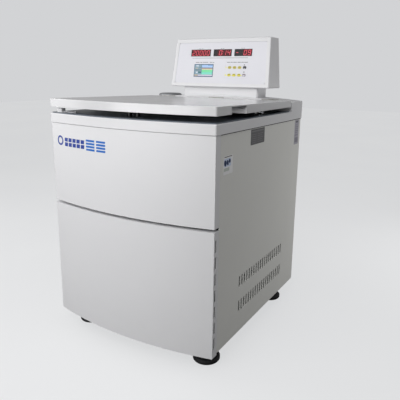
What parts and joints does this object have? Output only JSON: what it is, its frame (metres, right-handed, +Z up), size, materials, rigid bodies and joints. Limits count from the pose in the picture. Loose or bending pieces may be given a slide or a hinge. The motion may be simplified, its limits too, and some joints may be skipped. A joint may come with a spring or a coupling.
{
  "type": "laboratory centrifuge",
  "caption": "Floor-standing refrigerated laboratory centrifuge with a bowed white cabinet, a flat hinged lid over the rotor chamber and a raised sloping control head at the back.",
  "frame": {"origin": "centre of the footprint on the floor", "axes": "+X to the operator's right, +Y towards the back, +Z up"},
  "size_m": [0.6452, 0.732, 1.057],
  "materials": {
    "cream_coat": "fine textured powder coat",
    "white_moulding": "smooth moulded plastic",
    "lid_white": "glossy painted moulding",
    "dark_plate": "dark grey enamel",
    "black_rubber": "matt moulded rubber",
    "stainless": "brushed",
    "zinc_steel": "zinc plated",
    "black_steel": "black enamel",
    "frame_paint": "dark grey powder coat",
    "copper": "drawn copper tube",
    "foam": "closed-cell polyurethane foam",
    "armour": "rolled armour steel, oiled",
    "cast_aluminium": "cast, shot blasted",
    "anodised": "dark hard anodised",
    "bearing_steel": "ground",
    "black_plastic": "moulded",
    "panel_print": "printed polyester membrane",
    "display_red": "tinted filter",
    "module_black": "moulded module",
    "key_yellow": "domed key cap",
    "key_black": "domed key cap",
    "key_grey": "domed key cap"
  },
  "bodies": {
    "cabinet": {"base_frame": "frame_paint", "frame_posts": "frame_paint", "left_side_panel": "cream_coat", "right_side_panel": "cream_coat", "rear_panel": "cream_coat", "panel_screws": "zinc_steel", "upper_front_panel": "cream_coat", "lower_front_panel": "cream_coat", "top_cover": "white_moulding", "inner_top_plate": "dark_plate", "chamber_seal": "black_rubber", "hinge_leaves_cabinet": "zinc_steel", "hinge_pins": "zinc_steel", "lid_lock_housing": "zinc_steel", "chamber_bowl": "stainless", "evaporator_coil": "copper", "chamber_insulation": "foam", "guard_ring": "armour", "motor_housing": "cast_aluminium", "spindle_bearings": "bearing_steel", "motor_mounts": "black_rubber", "compressor": "black_steel", "condenser": "cast_aluminium", "fan_shroud": "zinc_steel", "drive_electronics_box": "zinc_steel", "mains_switch": "black_plastic", "neck": "white_moulding", "head_shell": "white_moulding", "control_panel": "panel_print", "display_lenses": "display_red", "display_modules": "module_black"},
    "lid": {"lid_shell": "lid_white", "lid_liner": "foam", "hinge_leaves_lid": "zinc_steel", "strut_lid_studs": "zinc_steel", "lid_striker": "stainless"},
    "strut_cylinder_l": {"strut_cylinder_left": "black_steel"},
    "strut_cylinder_r": {"strut_cylinder_right": "black_steel"},
    "strut_rod_l": {"strut_rod_left": "stainless"},
    "strut_rod_r": {"strut_rod_right": "stainless"},
    "lock_hook": {"lid_lock_hook": "zinc_steel"},
    "release": {"release_pull": "stainless"},
    "rotor_drive": {"spindle": "bearing_steel", "rotor": "anodised", "rotor_lid": "anodised"},
    "rotor_knob": {"rotor_knob": "black_plastic"},
    "fan": {"condenser_fan": "black_plastic"},
    "rocker": {"mains_rocker": "black_plastic"},
    "foot_fl": {"foot_front_left": "black_rubber"},
    "foot_fr": {"foot_front_right": "black_rubber"},
    "foot_rl": {"foot_rear_left": "black_rubber"},
    "foot_rr": {"foot_rear_right": "black_rubber"},
    "key_upper_1_cap": {"key_upper_1": "key_yellow"},
    "key_upper_2_cap": {"key_upper_2": "key_yellow"},
    "key_upper_3_cap": {"key_upper_3": "key_yellow"},
    "key_arrow_up_cap": {"key_arrow_up": "key_black"},
    "key_lower_1_cap": {"key_lower_1": "key_yellow"},
    "key_lower_2_cap": {"key_lower_2": "key_yellow"},
    "key_lower_3_cap": {"key_lower_3": "key_yellow"},
    "key_arrow_down_cap": {"key_arrow_down": "key_grey"}
  },
  "joints": [
    {"name": "lid_hinge", "type": "hinge", "parent": "cabinet", "child": "lid", "pos_m": [0, 0.2428, 0.822], "axis": [-1, 0, 0], "range_deg": [0, 75]},
    {"name": "strut_pivot_l", "type": "hinge", "parent": "cabinet", "child": "strut_cylinder_l", "pos_m": [-0.288, 0.2063, 0.63], "axis": [-1, 0, 0], "range_deg": [-0.2, 38.36]},
    {"name": "strut_extend_l", "type": "slide", "parent": "strut_cylinder_l", "child": "strut_rod_l", "axis": [0, -0.7049, 0.7093], "range_m": [-0.0005, 0.15041]},
    {"name": "strut_pivot_r", "type": "hinge", "parent": "cabinet", "child": "strut_cylinder_r", "pos_m": [0.288, 0.2063, 0.63], "axis": [-1, 0, 0], "range_deg": [-0.2, 38.36]},
    {"name": "strut_extend_r", "type": "slide", "parent": "strut_cylinder_r", "child": "strut_rod_r", "axis": [0, -0.7049, 0.7093], "range_m": [-0.0005, 0.15041]},
    {"name": "lock_hook_turn", "type": "hinge", "parent": "cabinet", "child": "lock_hook", "pos_m": [0, -0.2637, 0.712], "axis": [1, 0, 0], "range_deg": [0, 25]},
    {"name": "release_slide", "type": "slide", "parent": "cabinet", "child": "release", "axis": [1, 0, 0], "range_m": [0, 0.012]},
    {"name": "rotor_spin", "type": "hinge", "parent": "cabinet", "child": "rotor_drive", "pos_m": [0, 0.0513, 0.6], "axis": [0, 0, 1], "continuous": true},
    {"name": "knob_turn", "type": "hinge", "parent": "rotor_drive", "child": "rotor_knob", "pos_m": [0, 0.0513, 0.7], "axis": [0, 0, 1], "continuous": true},
    {"name": "fan_spin", "type": "hinge", "parent": "cabinet", "child": "fan", "pos_m": [0.244, 0.0313, 0.205], "axis": [1, 0, 0], "continuous": true},
    {"name": "rocker_tilt", "type": "hinge", "parent": "cabinet", "child": "rocker", "pos_m": [-0.15, 0.3608, 0.15], "axis": [1, 0, 0], "range_deg": [0, 16]},
    {"name": "key_upper_1_press", "type": "slide", "parent": "cabinet", "child": "key_upper_1_cap", "axis": [0, 0.9873, -0.1589], "range_m": [0, 0.0007], "stiffness_N_per_m": 400},
    {"name": "key_upper_2_press", "type": "slide", "parent": "cabinet", "child": "key_upper_2_cap", "axis": [0, 0.9873, -0.1589], "range_m": [0, 0.0007], "stiffness_N_per_m": 400},
    {"name": "key_upper_3_press", "type": "slide", "parent": "cabinet", "child": "key_upper_3_cap", "axis": [0, 0.9873, -0.1589], "range_m": [0, 0.0007], "stiffness_N_per_m": 400},
    {"name": "key_arrow_up_press", "type": "slide", "parent": "cabinet", "child": "key_arrow_up_cap", "axis": [0, 0.9873, -0.1589], "range_m": [0, 0.0007], "stiffness_N_per_m": 400},
    {"name": "key_lower_1_press", "type": "slide", "parent": "cabinet", "child": "key_lower_1_cap", "axis": [0, 0.9873, -0.1589], "range_m": [0, 0.0007], "stiffness_N_per_m": 400},
    {"name": "key_lower_2_press", "type": "slide", "parent": "cabinet", "child": "key_lower_2_cap", "axis": [0, 0.9873, -0.1589], "range_m": [0, 0.0007], "stiffness_N_per_m": 400},
    {"name": "key_lower_3_press", "type": "slide", "parent": "cabinet", "child": "key_lower_3_cap", "axis": [0, 0.9873, -0.1589], "range_m": [0, 0.0007], "stiffness_N_per_m": 400},
    {"name": "key_arrow_down_press", "type": "slide", "parent": "cabinet", "child": "key_arrow_down_cap", "axis": [0, 0.9873, -0.1589], "range_m": [0, 0.0007], "stiffness_N_per_m": 400},
    {"name": "foot_fl_turn", "type": "hinge", "parent": "cabinet", "child": "foot_fl", "pos_m": [-0.253, -0.2447, 0.03], "axis": [0, 0, 1], "continuous": true},
    {"name": "foot_fr_turn", "type": "hinge", "parent": "cabinet", "child": "foot_fr", "pos_m": [0.253, -0.2447, 0.03], "axis": [0, 0, 1], "continuous": true},
    {"name": "foot_rl_turn", "type": "hinge", "parent": "cabinet", "child": "foot_rl", "pos_m": [-0.253, 0.2818, 0.03], "axis": [0, 0, 1], "continuous": true},
    {"name": "foot_rr_turn", "type": "hinge", "parent": "cabinet", "child": "foot_rr", "pos_m": [0.253, 0.2818, 0.03], "axis": [0, 0, 1], "continuous": true}
  ],
  "couplings": [
    {"joint": "strut_pivot_l", "follows": "lid_hinge", "ratio": 0.5075},
    {"joint": "strut_extend_l", "follows": "lid_hinge", "m_per_rad": 0.11414},
    {"joint": "strut_pivot_r", "follows": "lid_hinge", "ratio": 0.5075},
    {"joint": "strut_extend_r", "follows": "lid_hinge", "m_per_rad": 0.11414}
  ]
}
